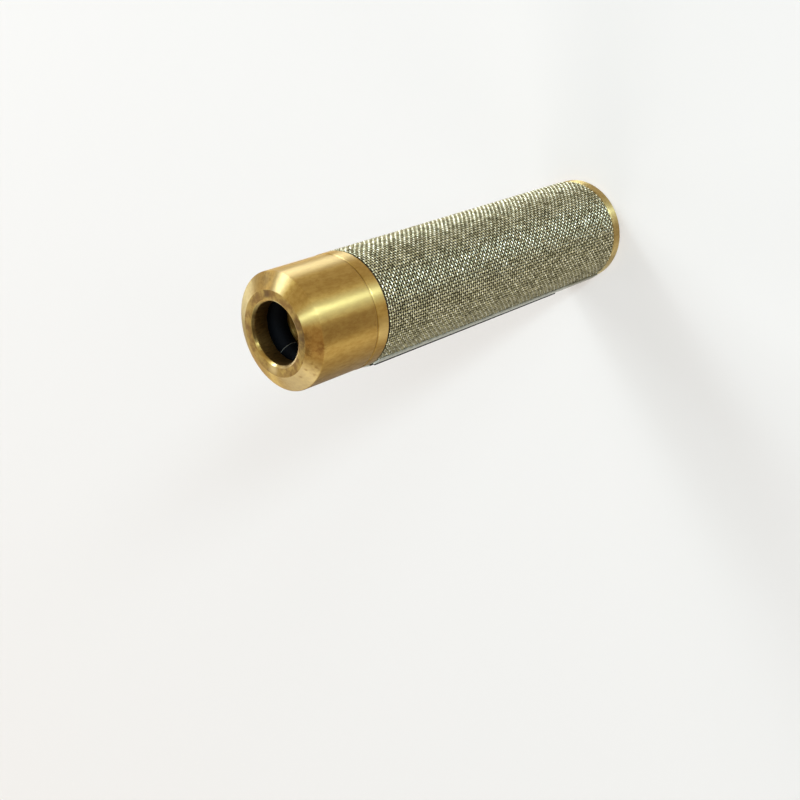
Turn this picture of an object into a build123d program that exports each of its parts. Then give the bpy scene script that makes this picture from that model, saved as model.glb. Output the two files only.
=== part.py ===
from build123d import *
from math import cos, pi, sin
import os

# A filter element for a servo valve: a tube of woven wire between a turned brass head and a brass cap.
# It stands on the flat face of its cap, with its length along +Z and the open head on top.
# The origin is the middle of the cap's face, and the lap seam of the mesh is on the -X side.

# Mesh sleeve, whose outside sets the radii of the pieces round and under it
mesh_exposed_length = 48.3
mesh_diameter = 15.2
mesh_thickness = 0.36
ridge_height = 0.16
lengthwise_wires = 112
gap_rows = 8
gap_columns = 14
gap_wires = 1
gap_height = 1.3

# Head: outside, from the front face down to the mesh
head_length = 11.9
front_face_diameter = 10.9
front_bevel_height = 1.13
rim_band_height = 1.85
rim_inset = 0.05
rim_step = 0.05
score_depth = 0.16
score_half_width = 0.17
rim_edge_break = 0.08

# Head: inside
bore_diameter = 8.0
bore_edge_break = 0.08
bore_exit_chamfer = 0.35
lip_length = 2.35
gland_width = 3.6
gland_depth = 2.24

# Seal ring in the head, lying against the inner side of its groove
seal_cord = 2.62
seal_sides = 16
seal_clearance = 0.02

# Spigots of the head and the cap, which carry the mesh and the tubes under it
mesh_seat_length = 1.8
tube_seat_length = 2.4
spigot_edge_break = 0.15
tube_seat_clearance = 0.04

# Cap
cap_inset = 0.08
cap_rim_height = 1.5
cap_edge_break = 0.12

# Lap seam of the mesh
seam_width = 3.0
seam_thickness = 0.14
seam_lean = 2.3
seam_end_clearance = 0.25

# Bond that fixes the mesh and the tubes to the spigots
bond_film = 0.12
bond_clearance = 0.01
bond_line_height = 0.14

# Filter cloth and the slotted core that holds it up
oil_gap = 0.57
cloth_thickness = 0.2
cloth_clearance = 0.02
core_wall = 0.5
core_end_clearance = 0.05
slot_width = 1.8
slot_length = 4.6
slot_rows = 6
slot_columns = 4
slot_margin = 4.0

# Heights above the cap's face
cap_shoulder = cap_rim_height
head_shoulder = cap_shoulder + mesh_exposed_length
top = head_shoulder + head_length
score_height = head_shoulder + rim_band_height
cap_mesh_seat_end = cap_shoulder + mesh_seat_length
cap_tube_seat_end = cap_mesh_seat_end + tube_seat_length
head_mesh_seat_end = head_shoulder - mesh_seat_length
head_tube_seat_end = head_mesh_seat_end - tube_seat_length
gland_top = top - lip_length
gland_bottom = gland_top - gland_width

# Radii, from the outside of the mesh inwards
mesh_outer = mesh_diameter / 2
valley_radius = mesh_outer - ridge_height
rim_radius = mesh_outer - rim_inset
head_radius = rim_radius - rim_step
cap_radius = mesh_outer - cap_inset
mesh_inner = mesh_outer - mesh_thickness
mesh_seat_radius = mesh_inner - bond_film - 2 * bond_clearance
cloth_outer = mesh_inner - oil_gap
cloth_inner = cloth_outer - cloth_thickness
core_outer = cloth_inner - cloth_clearance
core_inner = core_outer - core_wall
tube_seat_radius = core_inner - tube_seat_clearance
bore_radius = bore_diameter / 2
gland_radius = bore_radius + gland_depth

os.makedirs("parts", exist_ok=True)


def around(heights, count):
    """Gives planes that face outwards from the axis, count of them at each height, in staggered rows."""
    planes = []
    for row, height in enumerate(heights):
        for place in range(count):
            turn = 2 * pi / count * (place + (row % 2) / 2)
            planes.append(
                Plane(
                    origin=(0, 0, height),
                    x_dir=(-sin(turn), cos(turn), 0),
                    z_dir=(cos(turn), sin(turn), 0),
                )
            )
    return planes


# Head fitting: one turning, with the bore and the seal's groove cut into it
with BuildPart() as head_fitting:
    with BuildSketch(Plane.XZ):
        with BuildLine():
            Polyline(
                (0, head_tube_seat_end),
                (tube_seat_radius, head_tube_seat_end),
                (tube_seat_radius, head_mesh_seat_end),
                (mesh_seat_radius, head_mesh_seat_end),
                (mesh_seat_radius, head_shoulder),
                (rim_radius, head_shoulder),
                (rim_radius, score_height - score_half_width),
                (head_radius - score_depth, score_height),
                (head_radius, score_height + score_half_width),
                (head_radius, top - front_bevel_height),
                (front_face_diameter / 2, top),
                (0, top),
                close=True,
            )
        make_face()
    revolve(axis=Axis.Z)
    turned_edges = head_fitting.edges().filter_by(GeomType.CIRCLE)
    chamfer(turned_edges.group_by(SortBy.RADIUS)[-1].sort_by(Axis.Z)[0], rim_edge_break)
    chamfer(turned_edges.sort_by(Axis.Z)[0], spigot_edge_break)
    with BuildSketch(Plane.XY.offset(head_tube_seat_end)):
        Circle(bore_radius)
    extrude(amount=top - head_tube_seat_end, mode=Mode.SUBTRACT)
    bored_edges = head_fitting.edges().filter_by(GeomType.CIRCLE).group_by(SortBy.RADIUS)[0]
    chamfer(bored_edges.sort_by(Axis.Z)[-1], bore_edge_break)
    chamfer(bored_edges.sort_by(Axis.Z)[0], bore_exit_chamfer)
    with BuildSketch(Plane.XY.offset(gland_bottom)):
        Circle(gland_radius)
    extrude(amount=gland_width, mode=Mode.SUBTRACT)
head_fitting.part.label = "head_fitting"
export_step(head_fitting.part, "parts/head_fitting.step")

# Seal ring: a round cord that stands a little into the bore, its section drawn with many short sides
seal_radius = seal_cord / 2
seal_centre_radius = gland_radius - seal_clearance - seal_radius
seal_centre_height = gland_bottom + seal_clearance + seal_radius
with BuildPart() as bore_seal_ring:
    with BuildSketch(Plane.XZ):
        with Locations((seal_centre_radius, seal_centre_height)):
            RegularPolygon(seal_radius, seal_sides)
    revolve(axis=Axis.Z)
bore_seal_ring.part.label = "bore_seal_ring"
export_step(bore_seal_ring.part, "parts/bore_seal_ring.step")

# End cap: a closed disc with two spigots like the head's
with BuildPart() as end_cap:
    with BuildSketch(Plane.XZ):
        with BuildLine():
            Polyline(
                (0, 0),
                (cap_radius, 0),
                (cap_radius, cap_shoulder),
                (mesh_seat_radius, cap_shoulder),
                (mesh_seat_radius, cap_mesh_seat_end),
                (tube_seat_radius, cap_mesh_seat_end),
                (tube_seat_radius, cap_tube_seat_end),
                (0, cap_tube_seat_end),
                close=True,
            )
        make_face()
    revolve(axis=Axis.Z)
    cap_edges = end_cap.edges().filter_by(GeomType.CIRCLE)
    chamfer(cap_edges.group_by(SortBy.RADIUS)[-1], cap_edge_break)
    chamfer(cap_edges.sort_by(Axis.Z)[-1], spigot_edge_break)
end_cap.part.label = "end_cap"
export_step(end_cap.part, "parts/end_cap.step")

# Mesh sleeve: a thin wall with a ridge for each lengthwise wire, and staggered rows of gaps between them
sleeve_bottom = cap_shoulder + bond_line_height
sleeve_top = head_shoulder - bond_line_height
sleeve_length = sleeve_top - sleeve_bottom
wire_turn = 2 * pi / lengthwise_wires
ridge_outline = []
for wire in range(lengthwise_wires):
    crown = wire * wire_turn
    valley = crown + wire_turn / 2
    ridge_outline.append((mesh_outer * cos(crown), mesh_outer * sin(crown)))
    ridge_outline.append((valley_radius * cos(valley), valley_radius * sin(valley)))
gap_pitch = sleeve_length / gap_rows
gap_heights = [sleeve_bottom + (row + 0.5) * gap_pitch for row in range(gap_rows)]
gap_width = 2 * valley_radius * sin(gap_wires * wire_turn / 2)
with BuildPart() as mesh_sleeve:
    with BuildSketch(Plane.XY.offset(sleeve_bottom)):
        with BuildLine():
            Polyline(*ridge_outline, close=True)
        make_face()
        Circle(mesh_inner, mode=Mode.SUBTRACT)
    extrude(amount=sleeve_length)
    with BuildSketch(*around(gap_heights, gap_columns)):
        Rectangle(gap_width, gap_height)
    extrude(amount=2 * mesh_outer, mode=Mode.SUBTRACT)
mesh_sleeve.part.label = "mesh_sleeve"
export_step(mesh_sleeve.part, "parts/mesh_sleeve.step")

# Lap seam: a smooth soldered band over the lapped edge of the cloth, leaning a little round the tube
seam_inner = mesh_outer + bond_clearance
seam_length = sleeve_length - 2 * seam_end_clearance
with BuildPart() as lap_seam:
    with BuildSketch(Plane.XY.offset(sleeve_bottom + seam_end_clearance)):
        Circle(seam_inner + seam_thickness)
        Circle(seam_inner, mode=Mode.SUBTRACT)
    extrude(amount=seam_length)
    middle = (sleeve_bottom + sleeve_top) / 2
    seam_plane = Plane(origin=(0, 0, middle), x_dir=(0, 1, 0), z_dir=(-1, 0, 0))
    with BuildSketch(seam_plane):
        Rectangle(seam_width, 2 * seam_length, rotation=-seam_lean)
    extrude(amount=2 * mesh_outer, mode=Mode.INTERSECT)
lap_seam.part.label = "lap_seam"
export_step(lap_seam.part, "parts/lap_seam.step")

# Support core: a slotted tube that slides over the inner spigots
core_bottom = cap_mesh_seat_end + core_end_clearance
core_top = head_mesh_seat_end - core_end_clearance
slot_pitch = (core_top - core_bottom - 2 * slot_margin - slot_length) / (slot_rows - 1)
first_slot = core_bottom + slot_margin + slot_length / 2
slot_heights = [first_slot + row * slot_pitch for row in range(slot_rows)]
with BuildPart() as support_core:
    with BuildSketch(Plane.XY.offset(core_bottom)):
        Circle(core_outer)
        Circle(core_inner, mode=Mode.SUBTRACT)
    extrude(amount=core_top - core_bottom)
    with BuildSketch(*around(slot_heights, slot_columns)):
        Rectangle(slot_width, slot_length)
    extrude(amount=2 * core_outer, mode=Mode.SUBTRACT)
support_core.part.label = "support_core"
export_step(support_core.part, "parts/support_core.step")

# Filter cloth: the fine layer that does the filtering, wrapped on the core
with BuildPart() as filter_cloth:
    with BuildSketch(Plane.XY.offset(core_bottom)):
        Circle(cloth_outer)
        Circle(cloth_inner, mode=Mode.SUBTRACT)
    extrude(amount=core_top - core_bottom)
filter_cloth.part.label = "filter_cloth"
export_step(filter_cloth.part, "parts/filter_cloth.step")

# Bonds: a film of set bonding compound under each end of the mesh, which shows as a thin line at the joint
film_inner = mesh_seat_radius + bond_clearance
film_length = mesh_seat_length - 2 * bond_clearance
with BuildPart() as head_bond:
    with BuildSketch(Plane.XY.offset(head_mesh_seat_end + bond_clearance)):
        Circle(film_inner + bond_film)
        Circle(film_inner, mode=Mode.SUBTRACT)
    extrude(amount=film_length)
head_bond.part.label = "head_bond"
export_step(head_bond.part, "parts/head_bond.step")

with BuildPart() as cap_bond:
    with BuildSketch(Plane.XY.offset(cap_shoulder + bond_clearance)):
        Circle(film_inner + bond_film)
        Circle(film_inner, mode=Mode.SUBTRACT)
    extrude(amount=film_length)
cap_bond.part.label = "cap_bond"
export_step(cap_bond.part, "parts/cap_bond.step")
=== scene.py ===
"""Looks of a tubular filter element for a servo valve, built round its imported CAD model.

The element stands on its closed cap, with its length along +Z. A sleeve of plain woven stainless wire
joins a turned brass head, which has a black seal ring in its bore, to a turned brass cap. Sizes are in
millimetres, except a lamp's, and MM turns them to metres where a mesh or a pattern is made.
"""

from __future__ import annotations

import logging
from collections.abc import Callable, Iterable, Iterator, Mapping, Sequence
from contextlib import contextmanager
from dataclasses import dataclass, field, replace
from enum import Enum
from math import cos, pi, radians, sin

import bpy
from mathutils import Matrix, Vector

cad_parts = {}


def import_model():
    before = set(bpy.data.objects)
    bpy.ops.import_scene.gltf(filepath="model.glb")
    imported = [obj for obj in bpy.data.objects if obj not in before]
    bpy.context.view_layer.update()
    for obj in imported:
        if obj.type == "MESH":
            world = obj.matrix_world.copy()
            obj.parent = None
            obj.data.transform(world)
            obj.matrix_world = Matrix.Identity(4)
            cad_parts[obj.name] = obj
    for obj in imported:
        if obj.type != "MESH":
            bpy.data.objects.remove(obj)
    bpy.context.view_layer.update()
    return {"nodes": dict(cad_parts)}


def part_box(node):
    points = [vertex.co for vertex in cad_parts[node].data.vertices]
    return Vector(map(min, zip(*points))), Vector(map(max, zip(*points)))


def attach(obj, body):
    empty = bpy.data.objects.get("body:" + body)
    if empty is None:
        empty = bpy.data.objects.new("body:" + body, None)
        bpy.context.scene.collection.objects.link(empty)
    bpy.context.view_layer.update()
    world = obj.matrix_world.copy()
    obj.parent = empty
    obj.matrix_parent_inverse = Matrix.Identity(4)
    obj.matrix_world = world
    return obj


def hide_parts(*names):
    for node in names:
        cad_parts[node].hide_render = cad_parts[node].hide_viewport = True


LOG = logging.getLogger("filter_element")
MM = 0.001
BODY = "root"

# Corners nearer to each other than this are one corner, in millimetres.
MERGE_DISTANCE = 0.001
# How fast a mottled tone changes along the axis, as a share of how fast it does across it.
DRAWN_OUT = 0.4
# The span in which nearly all of a noise between 0 and 1 lies.
TONE_LOW = 0.3
TONE_HIGH = 0.7

Node = bpy.types.Node
NodeTree = bpy.types.NodeTree
Piece = bpy.types.Object
Material = bpy.types.Material
Socket = bpy.types.NodeSocket
Station = tuple[float, float]
Step = tuple[Socket, float, float, float, float]
Layer = tuple[Socket, str]


class Slot(Enum):
    """The record's material slot names."""

    BRASS = "brass"
    RUBBER = "seal_rubber"
    MESH = "stainless_mesh"
    SEAM = "seam_metal"


class HeadPart(Enum):
    """The parts of the head that are finished differently, in the order of its materials."""

    OUTSIDE = 0
    FACE = 1
    BORE = 2


class Crossing(Enum):
    """Which way a wire bends at its first crossing."""

    OUTWARDS = 1
    INWARDS = -1


# Modelling helpers


def nothing_selected() -> None:
    """Leaves edit mode and deselects every object."""
    if bpy.context.object is not None and bpy.context.object.mode != "OBJECT":
        bpy.ops.object.mode_set(mode="OBJECT")
    bpy.ops.object.select_all(action="DESELECT")


def make_active(piece: Piece) -> None:
    """Selects one object alone and makes it the active one."""
    nothing_selected()
    piece.select_set(True)
    bpy.context.view_layer.objects.active = piece


@contextmanager
def editing(piece: Piece, whole: bool = True) -> Iterator[None]:
    """Opens edit mode on a piece for as long as the block lasts.

    Args:
        piece: The mesh object to edit.
        whole: True to start with all of it selected, False to keep what was selected.
    """
    make_active(piece)
    bpy.ops.object.mode_set(mode="EDIT")
    if whole:
        bpy.ops.mesh.select_all(action="SELECT")
    try:
        yield
    finally:
        bpy.ops.object.mode_set(mode="OBJECT")


def added(name: str, primitive: Callable[..., object], **sizes: object) -> Piece:
    """Adds a primitive with nothing else selected, names it and puts its place into its mesh.

    Args:
        name: The name of the piece.
        primitive: The operator that adds it.
        sizes: The operator's own settings.

    Returns:
        The new object, which sits at the origin.
    """
    nothing_selected()
    primitive(**sizes)
    piece = bpy.context.object
    piece.name = name
    piece.data.name = name
    bpy.ops.object.transform_apply(location=True, rotation=True, scale=True)
    return piece


def applied(piece: Piece, kind: str, **settings: object) -> None:
    """Adds a modifier to a piece, sets it and applies it.

    Args:
        piece: The object to change.
        kind: The modifier's type name.
        settings: The modifier's own settings.
    """
    make_active(piece)
    modifier = piece.modifiers.new(kind.lower(), kind)
    for key, value in settings.items():
        setattr(modifier, key, value)
    bpy.ops.object.modifier_apply(modifier=modifier.name)


def smooth(piece: Piece, angle: float = 35.0) -> None:
    """Shades a piece smooth, except over edges sharper than an angle in degrees."""
    make_active(piece)
    bpy.ops.object.shade_smooth_by_angle(angle=radians(angle))


def joined(pieces: Sequence[Piece]) -> Piece:
    """Joins pieces into the first of them.

    Args:
        pieces: The mesh objects to join.

    Returns:
        The first object, which now holds them all.
    """
    make_active(pieces[0])
    for piece in pieces:
        piece.select_set(True)
    bpy.ops.object.join()
    return pieces[0]


def turned(name: str, outline: Sequence[Station], segments: int, bored: bool) -> Piece:
    """Turns an outline round Z, ring by ring, as on a lathe.

    Args:
        name: The name of the piece.
        outline: Radius and height of each corner in millimetres, in order along the surface.
        segments: How many sides each ring has.
        bored: True for a piece with a hole through it, whose outline ends where it starts.

    Returns:
        The closed mesh object, with its faces pointing outwards.
    """
    radius, height = outline[0]
    piece = added(
        name, bpy.ops.mesh.primitive_circle_add, vertices=segments, radius=radius * MM,
        fill_type="NOTHING" if bored else "NGON", location=(0, 0, height * MM),
    )
    with editing(piece):
        for next_radius, next_height in outline[1:]:
            rise = (0, 0, (next_height - height) * MM)
            bpy.ops.mesh.extrude_region_move(TRANSFORM_OT_translate={"value": rise})
            scale = next_radius / radius
            bpy.ops.transform.resize(value=(scale, scale, 1), center_override=(0, 0, next_height * MM))
            radius, height = next_radius, next_height
        bpy.ops.mesh.select_all(action="SELECT")
        bpy.ops.mesh.remove_doubles(threshold=MERGE_DISTANCE * MM)
        bpy.ops.mesh.normals_make_consistent(inside=False)
    return piece


def rounded(piece: Piece, width: float, segments: int = 3, angle: float = 26.0) -> None:
    """Rounds the edges of a piece.

    Args:
        piece: The object to change.
        width: The width of the rounding in millimetres.
        segments: How many faces the rounding has across.
        angle: The angle in degrees past which an edge is rounded.
    """
    applied(
        piece, "BEVEL", width=width * MM, segments=segments, limit_method="ANGLE",
        angle_limit=radians(angle),
    )


# Material helpers


def linear(colour: str) -> tuple[float, float, float, float]:
    """Turns an sRGB hex colour to linear.

    Args:
        colour: Six hex digits after a hash sign.

    Returns:
        Red, green, blue and an alpha of 1.
    """
    channels = [int(colour[place : place + 2], 16) / 255 for place in (1, 3, 5)]
    red, green, blue = (c / 12.92 if c <= 0.04045 else ((c + 0.055) / 1.055) ** 2.4 for c in channels)
    return red, green, blue, 1.0


def feed(tree: NodeTree, node: Node, inputs: Mapping[str | int, object]) -> None:
    """Links or sets the inputs of a node.

    Args:
        tree: The node tree that holds it.
        node: The node to feed.
        inputs: For each input, the socket that feeds it or its value.
    """
    for key, source in inputs.items():
        if isinstance(source, Socket):
            tree.links.new(source, node.inputs[key])
        else:
            node.inputs[key].default_value = source


def add_node(
    tree: NodeTree,
    kind: str,
    inputs: Mapping[str | int, object],
    stops: Iterable[tuple[float, str]] = (),
    **settings: object,
) -> Node:
    """Adds a node with its settings, and links or sets its inputs.

    Args:
        tree: The node tree.
        kind: The node's type name after ShaderNode.
        inputs: For each input, the socket that feeds it or its value.
        stops: The two ends of a colour ramp: a place from 0 to 1 and an sRGB hex colour.
        settings: The node's own settings.

    Returns:
        The new node.
    """
    node = tree.nodes.new("ShaderNode" + kind)
    for key, value in settings.items():
        setattr(node, key, value)
    for place, (position, colour) in enumerate(stops):
        node.color_ramp.elements[place].position = position
        node.color_ramp.elements[place].color = linear(colour)
    feed(tree, node, inputs)
    return node


def new_material(name: str) -> tuple[Material, NodeTree, Node, Socket]:
    """Makes a material with one Principled shader.

    Args:
        name: The material's name.

    Returns:
        The material, its tree, its shader and the socket with each point's place.
    """
    material = bpy.data.materials.new(name)
    material.use_nodes = True
    tree = material.node_tree
    place = add_node(tree, "TexCoord", {}).outputs["Object"]
    return material, tree, tree.nodes["Principled BSDF"], place


def stepped(tree: NodeTree, *steps: Step) -> Socket:
    """Adds smooth steps and multiplies them with each other.

    Args:
        tree: The node tree.
        steps: For each step the socket that drives it, where on that it begins and ends, and what the
            step gives up to its beginning and from its end on.

    Returns:
        The socket with the product.
    """
    levels = []
    for value, start, end, first, last in steps:
        span = {"Value": value, "From Min": start, "From Max": end, "To Min": first, "To Max": last}
        step = add_node(tree, "MapRange", span, interpolation_type="SMOOTHSTEP")
        levels.append(step.outputs[0])
    product = levels[0]
    for level in levels[1:]:
        product = add_node(tree, "Math", {0: product, 1: level}, operation="MULTIPLY").outputs[0]
    return product


def layered(tree: NodeTree, colour: Socket, layers: Iterable[Layer]) -> Socket:
    """Lays tints over a colour, one after the other.

    Args:
        tree: The node tree.
        colour: The colour underneath.
        layers: For each tint, the socket that says how much of it shows, and its sRGB hex colour.

    Returns:
        The socket with the colour that shows.
    """
    for amount, tint in layers:
        sources = {"Factor": amount, 6: colour, 7: linear(tint)}
        colour = add_node(tree, "Mix", sources, data_type="RGBA").outputs[2]
    return colour


@dataclass(frozen=True)
class Surface:
    """The node tree of a turned or woven metal, with the sockets that the metal and its marks share."""

    tree: NodeTree
    place: Socket
    height: Socket
    radius: Socket
    outwards: Socket
    tone: Socket


def round_the_axis(tree: NodeTree, place: Socket, mottle: float) -> Surface:
    """Adds the nodes that place a point round the axis and give the metal there its tone.

    Args:
        tree: The node tree.
        place: Each point's place.
        mottle: The size in millimetres of the mottled tone, which is drawn out along the axis.

    Returns:
        The place, its height, radius and direction from the axis, and the tone from 0 to 1.
    """
    split = add_node(tree, "SeparateXYZ", {0: place})
    flat = add_node(tree, "CombineXYZ", {0: split.outputs[0], 1: split.outputs[1]})
    radius = add_node(tree, "VectorMath", {0: flat.outputs[0]}, operation="LENGTH")
    outwards = add_node(tree, "VectorMath", {0: flat.outputs[0]}, operation="NORMALIZE")
    drawn = add_node(tree, "Mapping", {"Vector": place, "Scale": (1.0, 1.0, DRAWN_OUT)})
    mottled = {"Vector": drawn.outputs[0], "Scale": 1 / (mottle * MM), "Detail": 4.0, "Roughness": 0.6}
    tone = add_node(tree, "TexNoise", mottled)
    distance = radius.outputs["Value"]
    return Surface(tree, place, split.outputs[2], distance, outwards.outputs[0], tone.outputs["Fac"])


def direct_rays(tree: NodeTree) -> Socket:
    """Gives 1 where the camera, a reflection or a view through something sees the surface, and 0 elsewhere.

    Args:
        tree: The node tree.

    Returns:
        The socket with that factor.
    """
    rays = add_node(tree, "LightPath", {})
    seen = rays.outputs["Is Camera Ray"]
    for ray in ("Is Glossy Ray", "Is Transmission Ray"):
        seen = add_node(tree, "Math", {0: seen, 1: rays.outputs[ray]}, operation="MAXIMUM").outputs[0]
    return seen


@dataclass(frozen=True)
class StainAndGlint:
    """A soft spot on the brass, placed round the axis: a stain where it is dark, and a painted glint where
    it is pale.

    Its last three values are in its own size: how far the tone moves its edge, and where it thins and ends.
    """

    azimuth: float
    radius: float
    height: float
    size: float
    strength: float
    colour: str = "#6E4B24"
    ragged: float = 2.0
    whole: float = 1.1
    gone: float = 2.1

    def amount(self, surface: Surface) -> Socket:
        """Adds the nodes that say how much of the spot there is.

        Args:
            surface: The brass that it is on.

        Returns:
            The socket with the amount, whose edge the tone breaks up.
        """
        tree, turn, size = surface.tree, radians(self.azimuth), self.size * MM
        centre = Vector((self.radius * cos(turn), self.radius * sin(turn), self.height)) * MM
        ends = {0: surface.place, 1: centre}
        away = add_node(tree, "VectorMath", ends, operation="DISTANCE").outputs["Value"]
        moved = {0: surface.tone, 1: size * self.ragged, 2: away}
        edge = add_node(tree, "Math", moved, operation="MULTIPLY_ADD").outputs[0]
        return stepped(tree, (edge, size * self.whole, size * self.gone, self.strength, 0.0))


@dataclass(frozen=True)
class TintAndPaintedLightBand:
    """A lengthwise band of colour laid over the metal: painted shade where it is darker, painted highlight
    and reflection where it is paler or greyer, and one reddish-brown band on the bevel.

    It shows between its bottom and its top, and no further from the axis than its reach.
    """

    azimuth: float
    half_width: float
    strength: float
    colour: str = "#6E4B24"
    bottom: float = -1.0
    top: float = 60.6
    reach: float = 9.0
    soft: float = 0.05
    reach_soft: float = 0.15
    thinnest: float = 0.85

    def amount(self, surface: Surface) -> Socket:
        """Adds the nodes that say how much of the band there is.

        Args:
            surface: The metal that it is on.

        Returns:
            The socket with the amount, which fades towards the band's sides and is a little uneven.
        """
        turn = radians(self.azimuth)
        sides = {0: surface.outwards, 1: (cos(turn), sin(turn), 0.0)}
        facing = add_node(surface.tree, "VectorMath", sides, operation="DOT_PRODUCT")
        return stepped(
            surface.tree,
            (facing.outputs["Value"], cos(radians(self.half_width)), 1.0, 0.0, self.strength),
            (surface.height, (self.top - self.soft) * MM, (self.top + self.soft) * MM, 1.0, 0.0),
            (surface.height, (self.bottom - self.soft) * MM, (self.bottom + self.soft) * MM, 0.0, 1.0),
            (surface.radius, (self.reach - self.reach_soft) * MM, (self.reach + self.soft) * MM, 1.0, 0.0),
            (surface.tone, TONE_LOW, TONE_HIGH, 1.0, self.thinnest),
        )


@dataclass(frozen=True)
class ShadeAndGrimeRing:
    """A ring at one height, full over the middle part of its width: painted shade in the turned score line,
    and a dark joint along the rim's lower edge.
    """

    height: float
    half_width: float
    strength: float
    colour: str
    middle: float = 0.5

    def amount(self, surface: Surface) -> Socket:
        """Adds the nodes that say how much the ring darkens.

        Args:
            surface: The brass that it is on.

        Returns:
            The socket with the amount, full at the line's height.
        """
        tree, half = surface.tree, self.half_width * MM
        level = {0: surface.height, 1: self.height * MM}
        rise = add_node(tree, "Math", level, operation="SUBTRACT").outputs[0]
        away = add_node(tree, "Math", {0: rise}, operation="ABSOLUTE").outputs[0]
        return stepped(tree, (away, half * self.middle, half, self.strength, 0.0))


Mark = StainAndGlint | TintAndPaintedLightBand | ShadeAndGrimeRing


def marked(surface: Surface, colour: Socket, marks: Iterable[Mark]) -> Socket:
    """Lays a metal's marks over its colour and gives the socket with the colour that shows."""
    return layered(surface.tree, colour, [(mark.amount(surface), mark.colour) for mark in marks])


@dataclass(frozen=True)
class TurnedBrass:
    """Brass bar turned on a lathe and left bare: fine rings from the tool, tarnish that varies at random,
    and marks that are stains, painted highlights and painted shade.
    """

    name: str
    clean: str = "#B18C46"
    worn: str = "#A67F3C"
    roughness: float = 0.42
    unevenness: float = 0.03
    anisotropy: float = 1.0
    ring: float = 0.25
    ring_depth: float = 0.0025
    wave: float = 1.4
    wave_depth: float = 0.014
    mottle: float = 0.4
    marks: tuple[Mark, ...] = ()

    def relief(self, surface: Surface) -> Socket:
        """Adds the tool's rings and the slow waves of hand polishing.

        Args:
            surface: The brass's shared sockets.

        Returns:
            The socket with the bent normal.
        """
        tree = surface.tree
        slow = {"Vector": surface.place, "Scale": 1 / (self.wave * MM), "Detail": 3.0}
        waves = add_node(tree, "TexNoise", slow).outputs["Fac"]
        slope = {0: surface.radius, 1: surface.height}
        across = add_node(tree, "Math", slope, operation="SUBTRACT").outputs[0]
        # Real tool marks are finer than this and would not show, so they are drawn about two pixels apart.
        fine = {"W": across, "Scale": 1 / (self.ring * MM), "Detail": 3.0, "Roughness": 0.7}
        rings = add_node(tree, "TexNoise", fine, noise_dimensions="1D").outputs["Fac"]
        polish = {"Height": waves, "Strength": 1.0, "Distance": self.wave_depth * MM}
        bent = add_node(tree, "Bump", polish).outputs[0]
        cut = {"Height": rings, "Strength": 1.0, "Distance": self.ring_depth * MM, "Normal": bent}
        return add_node(tree, "Bump", cut).outputs[0]

    def material(self) -> Material:
        """Builds the material.

        Returns:
            The brass, with tool rings that follow faces, bevels and walls alike.
        """
        material, tree, shader, place = new_material(self.name)
        surface = round_the_axis(tree, place, self.mottle)
        stops = ((0.38, self.worn), (0.6, self.clean))
        bare = add_node(tree, "ValToRGB", {"Fac": surface.tone}, stops).outputs[0]
        dullest, brightest = self.roughness + self.unevenness, self.roughness - self.unevenness
        tangent = add_node(tree, "Tangent", {}, direction_type="RADIAL", axis="Z")
        look = {
            "Base Color": marked(surface, bare, self.marks),
            "Metallic": 1.0,
            "Roughness": stepped(tree, (surface.tone, TONE_LOW, TONE_HIGH, dullest, brightest)),
            "Normal": self.relief(surface),
            "Tangent": tangent.outputs[0],
            "Anisotropic": self.anisotropy,
            "Anisotropic Rotation": 0.25,
        }
        feed(tree, shader, look)
        return material


@dataclass(frozen=True)
class DrawnWire:
    """Stainless wire, woven and used: crowns polished bright, and dull and dark down in the crossings,
    partly from oil and partly as painted shade.
    """

    name: str
    crown: str
    shade: str
    film_and_shade: str
    film_depth: float
    crown_depth: float
    roughness: float = 0.4
    film_dullness: float = 0.2
    pitch: float = 0.5
    marks: tuple[TintAndPaintedLightBand, ...] = ()

    def material(self, rim: float) -> Material:
        """Builds the material.

        Args:
            rim: The radius in millimetres of the outermost crowns, from which both depths are taken.

        Returns:
            The wire, whose tone changes from crown to crown.
        """
        material, tree, shader, place = new_material(self.name)
        surface = round_the_axis(tree, place, self.pitch)
        low, high = (rim - self.film_depth) * MM, (rim - self.crown_depth) * MM
        polish = stepped(tree, (surface.radius, low, high, 0.0, 1.0))
        # Deeper than the crowns the wire darkens: partly oily and partly painted shade in the crossings.
        filmed_and_shaded = stepped(tree, (polish, 0.0, 1.0, 1.0, 0.0))
        dull = self.roughness + self.film_dullness
        stops = ((0.4, self.shade), (0.6, self.crown))
        bare = add_node(tree, "ValToRGB", {"Fac": surface.tone}, stops).outputs[0]
        look = {
            "Base Color": layered(tree, marked(surface, bare, self.marks), [(filmed_and_shaded, self.film_and_shade)]),
            "Metallic": 1.0,
            "Roughness": stepped(tree, (polish, 0.0, 1.0, dull, self.roughness)),
        }
        feed(tree, shader, look)
        return material


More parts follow.
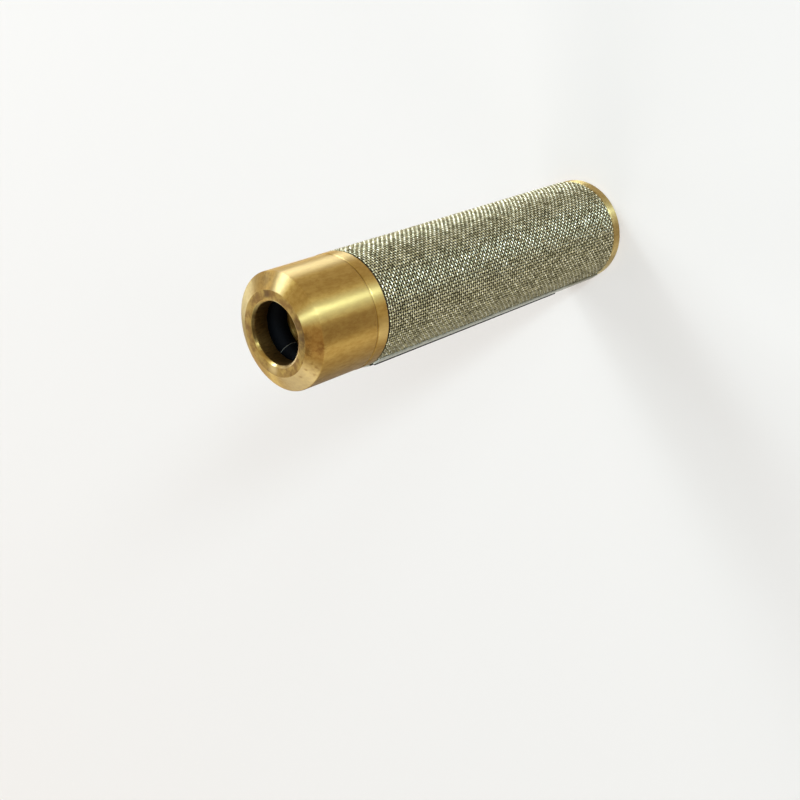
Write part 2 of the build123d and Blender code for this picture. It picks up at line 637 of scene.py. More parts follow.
@dataclass(frozen=True)
class Skin:
    """A skin with no direction: cloudy tone between a dark and a light colour, and a fine relief."""

    name: str
    dark: str
    light: str
    metallic: float
    roughness: float
    grain: float
    relief: float
    strength: float = 0.6
    detail: float = 4.0
    dark_at: float = 0.35
    light_at: float = 0.65
    gloss: float = 0.5

    def cloudy(self, tree: NodeTree, place: Socket) -> tuple[Socket, dict[str, object]]:
        """Adds the nodes of the tone and the relief.

        Args:
            tree: The node tree.
            place: Each point's place.

        Returns:
            The socket with the tone from 0 to 1, and what feeds the shader's inputs.
        """
        noise = {"Vector": place, "Scale": 1 / (self.grain * MM), "Detail": self.detail}
        tone = add_node(tree, "TexNoise", noise).outputs["Fac"]
        stops = ((self.dark_at, self.dark), (self.light_at, self.light))
        raised = {"Height": tone, "Strength": self.strength, "Distance": self.relief * MM}
        return tone, {
            "Base Color": add_node(tree, "ValToRGB", {"Fac": tone}, stops).outputs[0],
            "Metallic": self.metallic,
            "Roughness": self.roughness,
            "Specular IOR Level": self.gloss,
            "Normal": add_node(tree, "Bump", raised).outputs[0],
        }

    def material(self) -> Material:
        """Builds the material."""
        material, tree, shader, place = new_material(self.name)
        feed(tree, shader, self.cloudy(tree, place)[1])
        return material


@dataclass(frozen=True)
class WeldedLap(Skin):
    """Stainless strip with its lapped edges welded down: bright flats, and between them a dark line of
    painted shade.

    Its lower part is darker, up to a given height. The line's middle is a place across and up.
    """

    name: str = "welded stainless lap"
    dark: str = "#8C8B7C"
    light: str = "#A8A798"
    metallic: float = 1.0
    roughness: float = 0.42
    grain: float = 0.5
    relief: float = 0.03
    gloss: float = 0.1
    # The line is painted shade: darker, duller and not metal.
    line: str = "#2B2820"
    line_half_width: float = 0.36
    line_ragged: float = 0.3
    line_soft: float = 0.08
    line_roughness: float = 0.9
    middle: tuple[float, float] = (-0.58, 25.65)
    lean: float = 0.3
    # The lower part of the strip is darker, up to a given height.
    low_tint: str = "#77735C"
    low_tint_strength: float = 0.9
    low_tint_fade: float = 3.0
    low_tint_top: float = 11.0

    def material(self) -> Material:
        """Builds the material.

        Returns:
            The strip, with the dark line along its leaning middle.
        """
        material, tree, shader, place = new_material(self.name)
        tone, look = self.cloudy(tree, place)
        lean = radians(self.lean)
        middle = (0.0, self.middle[0] * MM, self.middle[1] * MM)
        level = add_node(tree, "VectorMath", {0: place, 1: middle}, operation="SUBTRACT").outputs[0]
        slope = {0: level, 1: (0.0, cos(lean), sin(lean))}
        across = add_node(tree, "VectorMath", slope, operation="DOT_PRODUCT").outputs["Value"]
        away = add_node(tree, "Math", {0: across}, operation="ABSOLUTE").outputs[0]
        moved = {0: tone, 1: self.line_ragged * MM, 2: away}
        ragged = add_node(tree, "Math", moved, operation="MULTIPLY_ADD").outputs[0]
        edge, soft = (self.line_half_width + self.line_ragged / 2) * MM, self.line_soft * MM
        # Painted shade: a dark, dull line along the strip's leaning middle.
        shaded_line = stepped(tree, (ragged, edge - soft, edge + soft, 1.0, 0.0))
        # The strip darkens towards its lower end.
        height = add_node(tree, "SeparateXYZ", {0: place}).outputs[2]
        clean = self.low_tint_top * MM
        darker_low = stepped(tree, (height, clean - self.low_tint_fade * MM, clean, self.low_tint_strength, 0.0))
        look["Base Color"] = layered(tree, look["Base Color"], [(darker_low, self.low_tint), (shaded_line, self.line)])
        look["Metallic"] = stepped(tree, (shaded_line, 0.0, 1.0, self.metallic, 0.0))
        look["Roughness"] = stepped(tree, (shaded_line, 0.0, 1.0, self.roughness, self.line_roughness))
        feed(tree, shader, look)
        return material


@dataclass(frozen=True)
class PaleBoard:
    """Matt white board under the element. Its lift shows to the camera and in reflections only."""

    name: str = "matt white board"
    colour: str = "#C4AF98"
    glow: str = "#FAFAF8"
    lift: float = 0.4
    roughness: float = 0.9
    gloss: float = 0.2

    def material(self) -> Material:
        """Builds the material."""
        material, tree, shader, _ = new_material(self.name)
        shown = {0: direct_rays(tree), 1: self.lift}
        look = {
            "Base Color": linear(self.colour),
            "Roughness": self.roughness,
            "Specular IOR Level": self.gloss,
            "Emission Color": linear(self.glow),
            "Emission Strength": add_node(tree, "Math", shown, operation="MULTIPLY").outputs[0],
        }
        feed(tree, shader, look)
        return material


def tie(piece: Piece, replaced: str) -> Piece:
    """Ties a finished piece to the frame.

    Args:
        piece: The dressed object.
        replaced: The CAD node that it stands for.

    Returns:
        The same object.
    """
    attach(piece, BODY)
    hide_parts(replaced)
    return piece


@dataclass
class Head:
    """The turned brass head, open through its bore, with its three kinds of brass."""

    rim_step: float = 0.05
    rim_band: float = 1.85
    rim_break: float = 0.08
    face_radius: float = 5.45
    bevel_height: float = 1.13
    rim_front_break: float = 0.11
    score_depth: float = 0.13
    score_half_width: float = 0.17
    bore_radius: float = 4.0
    mouth_round: float = 0.42
    mouth_steps: int = 6
    exit_break: float = 0.35
    lip_length: float = 2.35
    gland_width: float = 3.6
    gland_radius: float = 6.24
    mesh_seat_radius: float = 7.10
    mesh_seat_length: float = 1.8
    tube_seat_radius: float = 5.91
    tube_seat_length: float = 2.4
    seat_break: float = 0.15
    segments: int = 192
    edge_round: float = 0.06
    lip_margin: float = 1.0
    bore_margin: float = 0.02
    face_margin: float = 0.01
    face_level: float = 0.99
    outside: TurnedBrass = TurnedBrass(
        name="turned brass head",
        marks=(
            # Painted shade: a darker lengthwise band on the body.
            TintAndPaintedLightBand(-104, 13, 0.45, bottom=51.8),
            # Painted shade: a faint darker band between the two highlights.
            TintAndPaintedLightBand(-60, 14, 0.12),
            # Painted highlight: a paler band along the main streak.
            TintAndPaintedLightBand(-84, 12, 0.5, "#AE9A5E", top=62),
            # Painted highlight: a paler band along the upper streak.
            TintAndPaintedLightBand(-33, 15, 0.5, "#A8946A", top=62),
            # Painted highlight: a paler band on the bevel's lower side.
            TintAndPaintedLightBand(-170, 42, 0.5, "#B09C70", bottom=60.6, top=62),
            # Painted highlight: a paler patch on the rim.
            TintAndPaintedLightBand(-121, 16, 0.5, "#C8AA68", bottom=49.7, top=51.5),
            # Painted glint on the mouth's rounded edge.
            StainAndGlint(147, 4.35, 61.6, 0.6, 0.7, "#E0C890"),
            # Painted shade: a dark band down the lower side.
            TintAndPaintedLightBand(-174, 42, 0.8, "#453014"),
            TintAndPaintedLightBand(-113, 25, 0.5, "#87501F", bottom=60.6, top=62),
            StainAndGlint(-12, 6.6, 61.1, 1.2, 0.55, "#6A5026"),
            StainAndGlint(-119, 7.15, 60.75, 0.9, 0.45, "#6A3E1A"),
            StainAndGlint(-106, 5.6, 61.6, 0.8, 0.45, "#5E4622"),
            StainAndGlint(-123, 5.6, 61.6, 0.9, 0.5, "#4E3618"),
            StainAndGlint(-138, 6.36, 61.2, 0.28, 0.6, "#7A5424"),
            StainAndGlint(-140, 6.86, 60.92, 0.34, 0.6, "#7A5424"),
            StainAndGlint(-149, 6.0, 61.39, 0.28, 0.6, "#7A5424"),
            StainAndGlint(-164, 6.0, 61.39, 0.34, 0.5, "#7A5424"),
            StainAndGlint(-149, 7.1, 60.78, 0.34, 0.4, "#7A5424"),
            StainAndGlint(-113, 7.5, 52.2, 0.3, 0.4, "#5A3A16"),
            # Painted highlight: a paler, greyer band on the bevel's left side.
            TintAndPaintedLightBand(50, 55, 0.6, "#A4945C", bottom=60.6, top=62),
            # Painted shade: a dark band over the left of the mouth's rounded edge.
            TintAndPaintedLightBand(60, 62, 0.85, "#35210C", bottom=61.1, top=62, reach=4.32),
            # Painted shade in the score groove.
            ShadeAndGrimeRing(51.66, 0.1, 0.5, "#6A4A1E"),
            ShadeAndGrimeRing(49.8, 0.09, 0.6, "#4A2A12"),
        ),
    )
    face: TurnedBrass = TurnedBrass(
        name="faced brass",
        clean="#A2823F",
        worn="#7C5A28",
        roughness=0.48,
        anisotropy=0.25,
        mottle=1.2,
        marks=(
            StainAndGlint(43, 4.84, 61.7, 0.7, 0.5),
            StainAndGlint(28.6, 4.75, 61.7, 0.7, 0.45),
            StainAndGlint(14.6, 4.71, 61.7, 0.5, 0.3),
            StainAndGlint(67, 4.9, 61.7, 1.3, 0.55),
            # Painted glint on the face beside the mouth.
            StainAndGlint(147, 4.6, 61.7, 1.0, 0.6, "#D0B478"),
            StainAndGlint(85, 4.9, 61.7, 0.7, 0.3),
            StainAndGlint(-12, 4.9, 61.7, 0.7, 0.7, "#4F351A"),
            StainAndGlint(-77, 4.8, 61.7, 0.9, 0.3, "#4A3418"),
            StainAndGlint(-107, 4.75, 61.7, 1.2, 0.75, "#4A3418"),
            StainAndGlint(-124, 4.8, 61.7, 1.1, 0.5, "#4A3418"),
            StainAndGlint(-137, 4.8, 61.7, 0.8, 0.3, "#4A3418"),
            StainAndGlint(-90, 4.8, 61.7, 0.9, 0.45, "#4A3418"),
        ),
    )
    # The bore's brass is darker than the outside's as painted shade inside the bore.
    bore: TurnedBrass = TurnedBrass(
        name="reamed brass bore", clean="#7C5A2A", worn="#5E401A", anisotropy=0.3
    )

    def mouth(self, top: float) -> list[Station]:
        """Gives the rounded edge of the bore's mouth, from the bore to the front face."""
        centre, steps = self.bore_radius + self.mouth_round, self.mouth_steps
        turns = [pi - step * pi / 2 / steps for step in range(steps + 1)]
        return [
            (centre + self.mouth_round * cos(turn), top - self.mouth_round * (1 - sin(turn)))
            for turn in turns
        ]

    def outline(self) -> list[Station]:
        """Gives the outline from the mouth of the bore over the outside and back up the bore."""
        low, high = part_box("head_fitting")
        top, end, rim = high.z / MM, low.z / MM, high.x / MM
        body = rim - self.rim_step
        step = end + self.tube_seat_length
        shoulder = step + self.mesh_seat_length
        score = shoulder + self.rim_band
        gland_top = top - self.lip_length
        gland_bottom = gland_top - self.gland_width
        mouth = self.mouth(top)
        return [
            *mouth,
            (self.face_radius, top),
            (body, top - self.bevel_height),
            (body, score + self.score_half_width),
            (body - self.score_depth, score),
            (rim - self.rim_front_break, score - self.score_half_width + self.rim_front_break),
            (rim, score - self.score_half_width),
            (rim, shoulder + self.rim_break),
            (rim - self.rim_break, shoulder),
            (self.mesh_seat_radius, shoulder),
            (self.mesh_seat_radius, step),
            (self.tube_seat_radius, step),
            (self.tube_seat_radius, end + self.seat_break),
            (self.tube_seat_radius - self.seat_break, end),
            (self.bore_radius + self.exit_break, end),
            (self.bore_radius, end + self.exit_break),
            (self.bore_radius, gland_bottom),
            (self.gland_radius, gland_bottom),
            (self.gland_radius, gland_top),
            (self.bore_radius, gland_top),
            mouth[0],
        ]

    def dress(self, piece: Piece) -> None:
        """Gives the outside, the flat front face and the bore before the seal ring their own brass.

        Args:
            piece: The turned head.
        """
        finishes = {HeadPart.OUTSIDE: self.outside, HeadPart.FACE: self.face, HeadPart.BORE: self.bore}
        for part in HeadPart:
            piece.data.materials.append(finishes[part].material())
        top = max(polygon.center.z for polygon in piece.data.polygons)
        wall = (self.bore_radius + self.bore_margin) * MM
        lip_end = top - (self.lip_length + self.lip_margin) * MM
        for polygon in piece.data.polygons:
            centre = polygon.center
            if centre.xy.length < wall and centre.z > lip_end:
                polygon.material_index = HeadPart.BORE.value
            elif polygon.normal.z > self.face_level and centre.z > top - self.face_margin * MM:
                polygon.material_index = HeadPart.FACE.value

    def build(self) -> Piece:
        """Turns the head, rounds its edges and dresses it."""
        piece = turned("head_fitting_turned", self.outline(), self.segments, bored=True)
        rounded(piece, self.edge_round)
        smooth(piece)
        self.dress(piece)
        return tie(piece, "head_fitting")


@dataclass
class Cap:
    """The turned brass cap that closes the lower end."""

    mesh_seat_radius: float = 7.10
    mesh_seat_end: float = 3.3
    tube_seat_radius: float = 5.91
    rim_height: float = 1.5
    edge_break: float = 0.12
    seat_break: float = 0.15
    centre_radius: float = 0.5
    segments: int = 192
    edge_round: float = 0.06
    brass: TurnedBrass = TurnedBrass(
        name="turned brass cap",
        clean="#B2965C",
        worn="#A88C52",
        marks=(
            # Painted shade: a darker lengthwise band.
            TintAndPaintedLightBand(-104, 13, 0.15),
            # Painted reflection: a greyer band on the lower side.
            TintAndPaintedLightBand(-165, 45, 0.5, "#A09670"),
            # Painted shade that dims the streak on the cap.
            TintAndPaintedLightBand(-78, 14, 0.35, "#8E7A46"),
        ),
    )

    def outline(self) -> list[Station]:
        """Gives the outline from the middle of the outer face up to the inner face."""
        low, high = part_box("end_cap")
        rim, floor, end = high.x / MM, low.z / MM, high.z / MM
        return [
            (self.centre_radius, floor),
            (rim - self.edge_break, floor),
            (rim, floor + self.edge_break),
            (rim, self.rim_height - self.edge_break),
            (rim - self.edge_break, self.rim_height),
            (self.mesh_seat_radius, self.rim_height),
            (self.mesh_seat_radius, self.mesh_seat_end),
            (self.tube_seat_radius, self.mesh_seat_end),
            (self.tube_seat_radius, end - self.seat_break),
            (self.tube_seat_radius - self.seat_break, end),
            (self.centre_radius, end),
        ]

    def dress(self, piece: Piece) -> None:
        """Gives the cap its brass."""
        piece.data.materials.append(self.brass.material())

    def build(self) -> Piece:
        """Turns the cap, rounds its edges and dresses it."""
        piece = turned("end_cap_turned", self.outline(), self.segments, bored=False)
        rounded(piece, self.edge_round)
        smooth(piece)
        self.dress(piece)
        return tie(piece, "end_cap")


@dataclass
class SealRing:
    """The black rubber ring in the bore, with the thin paler ridge where its cord is spliced."""

    splice_azimuth: float = 119.0
    splice_width: float = 0.12
    splice_proud: float = 0.03
    round_segments: int = 144
    section_segments: int = 36
    splice_segments: int = 48
    splice_sides: int = 8
    # Nitrile rubber from a mould is near black, with a satin skin and a faint bloom.
    rubber: Skin = Skin(
        "moulded nitrile rubber", "#020202", "#070707", metallic=0.0, roughness=0.8, grain=0.25,
        relief=0.01, strength=0.4, detail=3.0, dark_at=0.3, light_at=0.8, gloss=0.15,
    )
    # The thin flash on the splice is pale and a little shinier.
    flash: Skin = replace(rubber, name="spliced rubber", dark="#756B56", light="#8A7F68", gloss=0.5)

    def dress(self, ring: Piece, splice: Piece) -> None:
        """Gives the ring and its splice their own rubber."""
        ring.data.materials.append(self.rubber.material())
        splice.data.materials.append(self.flash.material())

    def build(self) -> Piece:
        """Moulds the ring and its splice, dresses them and joins them.

        Returns:
            The ring, with both kinds of rubber.
        """
        low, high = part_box("bore_seal_ring")
        cord = (high.z - low.z) / 2
        centre = high.x - cord
        height = (high.z + low.z) / 2
        ring = added(
            "bore_seal_ring_moulded", bpy.ops.mesh.primitive_torus_add, major_segments=self.round_segments,
            minor_segments=self.section_segments, major_radius=centre, minor_radius=cord,
            location=(0, 0, height),
        )
        turn = radians(self.splice_azimuth)
        splice = added(
            "seal_splice", bpy.ops.mesh.primitive_torus_add, major_segments=self.splice_segments,
            minor_segments=self.splice_sides,
            major_radius=cord + (self.splice_proud - self.splice_width / 2) * MM,
            minor_radius=self.splice_width / 2 * MM,
            location=(centre * cos(turn), centre * sin(turn), height), rotation=(pi / 2, 0, turn),
        )
        self.dress(ring, splice)
        ring = joined([ring, splice])
        smooth(ring, 60)
        return tie(ring, "bore_seal_ring")


@dataclass
class WovenSleeve:
    """The sleeve of plain square weave, each wire modelled with its crimp."""

    wire: float = 0.17
    wires_round: int = 116
    hoops: int = 118
    sides: int = 6
    wander: float = 0.045
    joint_gap: float = 0.03
    sway: float = 0.22
    sway_size: float = 2.4
    warp: DrawnWire = DrawnWire(
        name="lengthwise stainless wire",
        crown="#D4C896",
        shade="#8C825F",
        film_and_shade="#3B361B",
        film_depth=0.22,
        crown_depth=0.03,
        # Painted shade on the lower side, and a painted highlight on the lit top side.
        marks=(TintAndPaintedLightBand(-180, 46, 0.6, "#706A54"), TintAndPaintedLightBand(8, 24, 0.4, "#E0DAC0")),
    )
    weft: DrawnWire = DrawnWire(
        name="hoop stainless wire",
        crown="#FAEDC6",
        shade="#B3A77C",
        film_and_shade="#474028",
        film_depth=0.19,
        crown_depth=0.02,
        marks=(
            # Painted shade on the lower side.
            TintAndPaintedLightBand(-180, 46, 0.85, "#7E7962"),
            # Painted shade towards the lower side.
            TintAndPaintedLightBand(-142, 28, 0.25, "#5E5E50"),
            # Painted shade that dims the lit top side.
            TintAndPaintedLightBand(8, 24, 0.55, "#AAA692"),
        ),
    )
    low: float = field(init=False)
    high: float = field(init=False)
    middle: float = field(init=False)
    crimp: float = field(init=False)
    hoop_pitch: float = field(init=False)

    def __post_init__(self) -> None:
        """Takes the sleeve's ends and outside from the frame, and works out its crimp and pitch."""
        bottom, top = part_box("mesh_sleeve")
        self.low, self.high = bottom.z / MM, top.z / MM - self.joint_gap
        self.middle = top.x / MM - self.wire
        self.crimp = self.wire / 2
        self.hoop_pitch = (self.high - self.low) / self.hoops

    def unsettled(self, piece: Piece, seed: int) -> None:
        """Makes woven wires as uneven as real ones, and smooth.

        Each corner moves by up to a few hundredths of a millimetre, and the weave waves a little up and
        down the tube, as cloth does when it is rolled.

        Args:
            piece: The wires.
            seed: The seed of the random moves.
        """
        with editing(piece):
            bpy.ops.transform.vertex_random(offset=self.wander * MM, uniform=0, normal=0, seed=seed)
        waves = bpy.data.textures.get("weave_sway") or bpy.data.textures.new("weave_sway", "CLOUDS")
        waves.noise_scale = self.sway_size * MM
        applied(
            piece, "DISPLACE", texture=waves, texture_coords="LOCAL", direction="Z", strength=self.sway * MM
        )
        smooth(piece, 80)

    def lengthwise_wire(self, name: str, first: Crossing) -> Piece:
        """Bends one lengthwise wire over and under the hoops.

        Args:
            name: The name of the wire.
            first: Which way it bends at the lowest hoop.

        Returns:
            The wire, on the +X side.
        """
        piece = added(
            name, bpy.ops.mesh.primitive_circle_add, vertices=self.sides, radius=self.wire / 2 * MM,
            fill_type="NGON", location=(self.middle * MM, 0, self.low * MM),
        )
        half = self.hoop_pitch / 2
        side = 0.0
        with editing(piece):
            for hoop in range(self.hoops):
                next_side = first.value * (1 if hoop % 2 == 0 else -1)
                rise = half if hoop == 0 else 2 * half
                move = ((next_side - side) * self.crimp * MM, 0, rise * MM)
                bpy.ops.mesh.extrude_region_move(TRANSFORM_OT_translate={"value": move})
                side = next_side
            move = (-side * self.crimp * MM, 0, half * MM)
            bpy.ops.mesh.extrude_region_move(TRANSFORM_OT_translate={"value": move})
        return piece

    def lengthwise(self) -> Piece:
        """Sets the lengthwise wires round the tube, bent outwards and inwards in turn."""
        outwards = self.lengthwise_wire("mesh_lengthwise_wires", Crossing.OUTWARDS)
        inwards = self.lengthwise_wire("inward_wire", Crossing.INWARDS)
        step = 2 * pi / self.wires_round
        with editing(inwards):
            bpy.ops.transform.rotate(value=step, orient_axis="Z", center_override=(0, 0, 0))
        piece = joined([outwards, inwards])
        pairs = self.wires_round // 2
        with editing(piece):
            turn = 2 * step * (pairs - 1)
            bpy.ops.mesh.spin(steps=pairs - 1, dupli=True, angle=turn, center=(0, 0, 0), axis=(0, 0, 1))
            bpy.ops.mesh.select_all(action="SELECT")
            bpy.ops.mesh.normals_make_consistent(inside=False)
        self.unsettled(piece, seed=3)
        return piece

    def hoop(self, name: str, height: float, first: Crossing) -> Piece:
        """Bends one hoop in and out between the lengthwise wires.

        Args:
            name: The name of the hoop.
            height: Its height above the cap's face.
            first: Which way it bends at the first lengthwise wire.

        Returns:
            The hoop.
        """
        piece = added(
            name, bpy.ops.mesh.primitive_torus_add, major_segments=self.wires_round,
            minor_segments=self.sides, major_radius=self.middle * MM, minor_radius=self.wire / 2 * MM,
            location=(0, 0, height * MM),
        )
        for parity in (0, 1):
            side = first.value * (1 if parity == 0 else -1)
            scale = 1 + side * self.crimp / self.middle
            for vertex in piece.data.vertices:
                vertex.select = (vertex.index // self.sides) % 2 == parity
            for shape in (*piece.data.edges, *piece.data.polygons):
                shape.select = False
            with editing(piece, whole=False):
                bpy.ops.transform.resize(value=(scale, scale, 1), center_override=(0, 0, height * MM))
        return piece

    def hoopwise(self) -> Piece:
        """Stacks the hoops along the tube, each bent against the ones beside it."""
        bpy.context.tool_settings.mesh_select_mode = (True, False, False)
        first_height = self.low + self.hoop_pitch / 2
        lower = self.hoop("mesh_hoop_wires", first_height, Crossing.INWARDS)
        upper = self.hoop("upper_hoop", first_height + self.hoop_pitch, Crossing.OUTWARDS)
        piece = joined([lower, upper])
        applied(
            piece, "ARRAY", count=self.hoops // 2, use_relative_offset=False, use_constant_offset=True,
            constant_offset_displace=(0, 0, 2 * self.hoop_pitch * MM),
        )
        self.unsettled(piece, seed=5)
        return piece

    def dress(self, piece: Piece, finish: DrawnWire) -> None:
        """Gives wires their finish, whose dark colour, partly oily and partly painted shade, starts at a
        depth under the outermost crowns.
        """
        piece.data.materials.append(finish.material(self.middle + self.wire))

    def build(self) -> list[Piece]:
        """Weaves and dresses the lengthwise wires and the hoops."""
        wires, hoops = self.lengthwise(), self.hoopwise()
        self.dress(wires, self.warp)
        self.dress(hoops, self.weft)
        return [tie(piece, "mesh_sleeve") for piece in (wires, hoops)]


@dataclass
class LapBand:
    """The smooth welded strip over the lapped edge of the cloth, with the weld bead that stands along it."""

    width: float = 3.44
    shift: float = -0.48
    bead_width: float = 0.62
    bead_shift: float = -0.58
    bead_start: float = 9.3
    bead_end: float = 0.8
    lean: float = 0.3
    sunk: float = 0.18
    proud: float = 0.15
    bead_proud: float = 0.28
    end_gap: float = 0.25
    segments: int = 360
    edge_round: float = 0.13
    finish: WeldedLap = WeldedLap()

    def strip(self, name: str, width: float, shift: float, proud: float, start: float, end: float) -> Piece:
        """Cuts one strip from a thin tube and gives it its thickness.

        Args:
            name: The name of the strip.
            width: Its width round the tube in millimetres.
            shift: How far its middle lies from the -X side.
            proud: How far it stands above the cloth.
            start: How far above the sleeve's lower end it starts.
            end: How far below the sleeve's upper end it ends.

        Returns:
            The strip, sunk a little between the wires, with rounded edges.
        """
        low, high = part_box("mesh_sleeve")
        bottom = low.z + start * MM
        top = high.z - end * MM
        piece = added(
            name, bpy.ops.mesh.primitive_cylinder_add, vertices=self.segments,
            radius=high.x - self.sunk * MM, depth=top - bottom, end_fill_type="NOTHING",
            location=(0, 0, (top + bottom) / 2),
        )
        tilt = radians(self.lean)
        across = Vector((0, cos(tilt), sin(tilt)))
        half = across * (width / 2 * MM)
        centre = Vector((0, shift * MM, (top + bottom) / 2))
        cuts = ((centre, Vector((1, 0, 0))), (centre + half, across), (centre - half, -across))
        with editing(piece):
            for point, normal in cuts:
                bpy.ops.mesh.select_all(action="SELECT")
                bpy.ops.mesh.bisect(plane_co=point, plane_no=normal, clear_outer=True)
        applied(piece, "SOLIDIFY", thickness=(self.sunk + proud) * MM, offset=1.0)
        rounded(piece, self.edge_round, segments=4, angle=50)
        smooth(piece, 40)
        return piece

    def dress(self, piece: Piece) -> None:
        """Gives the strip and its bead their finish."""
        piece.data.materials.append(self.finish.material())

    def build(self) -> Piece:
        """Lays the strip with its bead and dresses them."""
        strip = self.strip("lap_seam_band", self.width, self.shift, self.proud, self.end_gap, self.end_gap)
        bead = self.strip(
            "weld_bead", self.bead_width, self.bead_shift, self.bead_proud, self.bead_start, self.bead_end
        )
        piece = joined([strip, bead])
        self.dress(piece)
        return tie(piece, "lap_seam")


@dataclass(frozen=True)
class InnerParts:
    """The solids shown as packed: the cloth and the tube under the mesh, and the bonds at its ends."""

    nodes: Mapping[str, Piece]
    # Oily cloth, too fine for its wires to show, is a dark and half dull skin, made darker still as painted
    # shade in the gaps of the weave.
    cloth: Skin = Skin("fine steel cloth", "#14130C", "#26241A", 0.6, 0.6, 0.1, 0.01)
    # Rolled strip keeps a cloudy mill surface.
    core: Skin = Skin("rolled steel tube", "#777771", "#8E8E88", 1.0, 0.4, 0.5, 0.01)
    # Set compound is brown and uneven, like glue that was wiped off.
    compound: Skin = Skin("set bonding compound", "#4A2E18", "#6A4A2C", 0.0, 0.5, 0.2, 0.02)

    def dress(self, names: Sequence[str], finish: Skin) -> list[Piece]:
        """Gives solids one finish all over.

        Args:
            names: The names of the solids' nodes.
            finish: Their finish.

        Returns:
            The solids.
        """
        material = finish.material()
        solids = [self.nodes[name] for name in names]
        for solid in solids:
            if not solid.material_slots:
                solid.data.materials.append(material)
            for slot in solid.material_slots:
                slot.material = material
        return solids

    def build(self) -> list[Piece]:
        """Dresses the four solids, of which the two bonds share their compound."""
        bonds = self.dress(("head_bond", "cap_bond"), self.compound)
        return [*self.dress(["filter_cloth"], self.cloth), *self.dress(["support_core"], self.core), *bonds]


@dataclass(frozen=True)
class Lamp:
    """One soft lamp, placed round the element and aimed at it. Its distance, width and height are metres."""

    name: str
    azimuth: float
    elevation: float
    width: float
    height: float
    power: float
    colour: str = "#D2E4FF"
    distance: float = 0.8

    def build(self, target: Vector) -> None:
        """Hangs the lamp.

        Args:
            target: The point it is aimed at, in metres.
        """
        turn, rise = radians(self.azimuth), radians(self.elevation)
        away = Vector((cos(rise) * cos(turn), cos(rise) * sin(turn), sin(rise)))
        light = bpy.data.lights.new(self.name, "AREA")
        light.shape = "RECTANGLE"
        light.size, light.size_y = self.width, self.height
        light.energy = self.power
        light.color = linear(self.colour)[:3]
        lamp = bpy.data.objects.new(self.name, light)
        lamp.location = target + away * self.distance
        lamp.rotation_euler = away.to_track_quat("Z", "Y").to_euler()
        lamp.visible_camera = False
        bpy.context.scene.collection.objects.link(lamp)


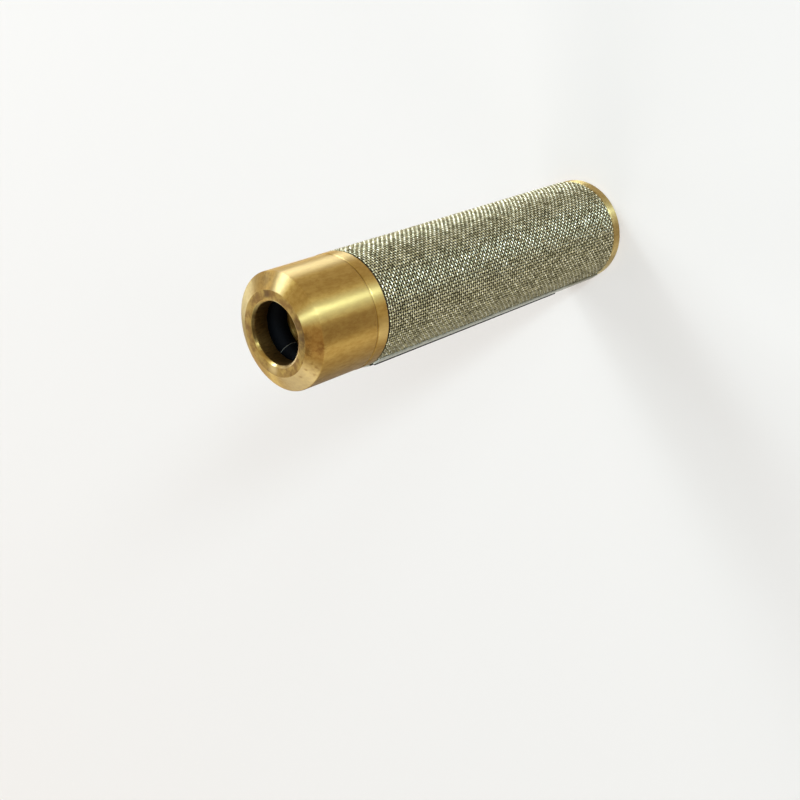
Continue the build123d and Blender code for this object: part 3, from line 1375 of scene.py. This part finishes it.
@dataclass
class Studio:
    """The pale board, the lamps, the surrounding light and the camera."""

    board_radius: float = 600.0
    board_drop: float = 0.02
    board_sides: int = 64
    surround: str = "#FFFFFF"
    surround_strength: float = 0.2
    backdrop: str = "#FAFAF8"
    aim_height: float = 45.0
    lamps: tuple[Lamp, ...] = (
        Lamp("streak_lamp", -77.5, 22, 0.09, 0.30, 4.5, "#B4D8FF"),
        Lamp("streak_fill", -78, 22, 0.62, 0.26, 4.0, "#B4D8FF"),
        Lamp("bevel_streak_lamp", -76, 50, 0.06, 0.25, 0.8, "#B4D8FF"),
        Lamp("upper_lamp", 8, 8, 0.30, 0.20, 3.0, "#CBDCFF"),
        Lamp("mouth_lamp", 16, 30, 0.16, 0.26, 2.4, "#BEDDFF"),
        Lamp("bevel_lamp", 25, 46, 0.24, 0.22, 2.3, "#BEDDFF"),
        Lamp("edge_lamp", 36, 8, 0.22, 0.20, 1.15),
        Lamp("left_lamp", 95, 25, 0.26, 0.26, 0.2),
        Lamp("low_left_lamp", 74, 10, 0.24, 0.20, 1.3),
        Lamp("back_lamp", 151, 38, 0.26, 0.32, 0.8),
        Lamp("back_fill", 134, 28, 0.76, 0.42, 2.0),
        Lamp("low_lamp", -150, 9, 0.30, 0.20, 1.2),
    )
    camera_place: tuple[float, float, float] = (0.0, -115.44, 149.26)
    camera_forward: tuple[float, float, float] = (-0.08530, 0.74314, -0.66367)
    camera_up: tuple[float, float, float] = (0.94175, -0.15735, -0.29723)
    lens: float = 54.302
    sensor: float = 36.0
    clip_start: float = 5.0

    def build_board(self) -> None:
        """Lays the board under the element, a hair below its face."""
        board = added(
            "pale_board", bpy.ops.mesh.primitive_circle_add, vertices=self.board_sides,
            radius=self.board_radius * MM, fill_type="NGON", location=(0, 0, -self.board_drop * MM),
        )
        board.data.materials.append(PaleBoard().material())

    def build_surround(self) -> None:
        """Lights the element evenly, and shows the pale backdrop behind it."""
        world = bpy.data.worlds.new("studio")
        bpy.context.scene.world = world
        world.use_nodes = True
        tree = world.node_tree
        background = tree.nodes["Background"]
        feed(tree, background, {"Color": linear(self.surround), "Strength": self.surround_strength})
        seen = add_node(tree, "Background", {"Color": linear(self.backdrop), "Strength": 1.0})
        both = {0: direct_rays(tree), 1: background.outputs[0], 2: seen.outputs[0]}
        mixed = add_node(tree, "MixShader", both)
        tree.links.new(mixed.outputs[0], tree.nodes["World Output"].inputs["Surface"])

    def build_camera(self) -> None:
        """Sets the camera where the photograph was taken from."""
        forward, up = Vector(self.camera_forward).normalized(), Vector(self.camera_up)
        right = forward.cross(up).normalized()
        up = right.cross(forward)
        data = bpy.data.cameras.new("photograph_view")
        data.sensor_fit = "HORIZONTAL"
        data.sensor_width = self.sensor
        data.lens = self.lens
        data.clip_start = self.clip_start * MM
        camera = bpy.data.objects.new("photograph_view", data)
        turn = Matrix((right, up, -forward)).transposed().to_4x4()
        camera.matrix_world = Matrix.Translation(Vector(self.camera_place) * MM) @ turn
        bpy.context.scene.collection.objects.link(camera)
        bpy.context.scene.camera = camera

    def build(self) -> None:
        """Builds the board, the surrounding light, the lamps and the camera."""
        self.build_board()
        self.build_surround()
        for lamp in self.lamps:
            lamp.build(Vector((0, 0, self.aim_height * MM)))
        self.build_camera()
        bpy.context.scene.view_settings.view_transform = "Standard"


def main() -> None:
    """Loads the frame, builds the element and its studio, and logs each piece's triangle count."""
    logging.basicConfig(level=logging.INFO, format="%(name)s: %(message)s")
    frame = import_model()
    pieces = [Head().build(), Cap().build(), SealRing().build(), *WovenSleeve().build(), LapBand().build()]
    pieces += InnerParts(frame["nodes"]).build()
    for piece in pieces:
        LOG.info("%s: %d triangles", piece.name, sum(len(face.vertices) - 2 for face in piece.data.polygons))
    Studio().build()


if __name__ == "__main__":
    main()
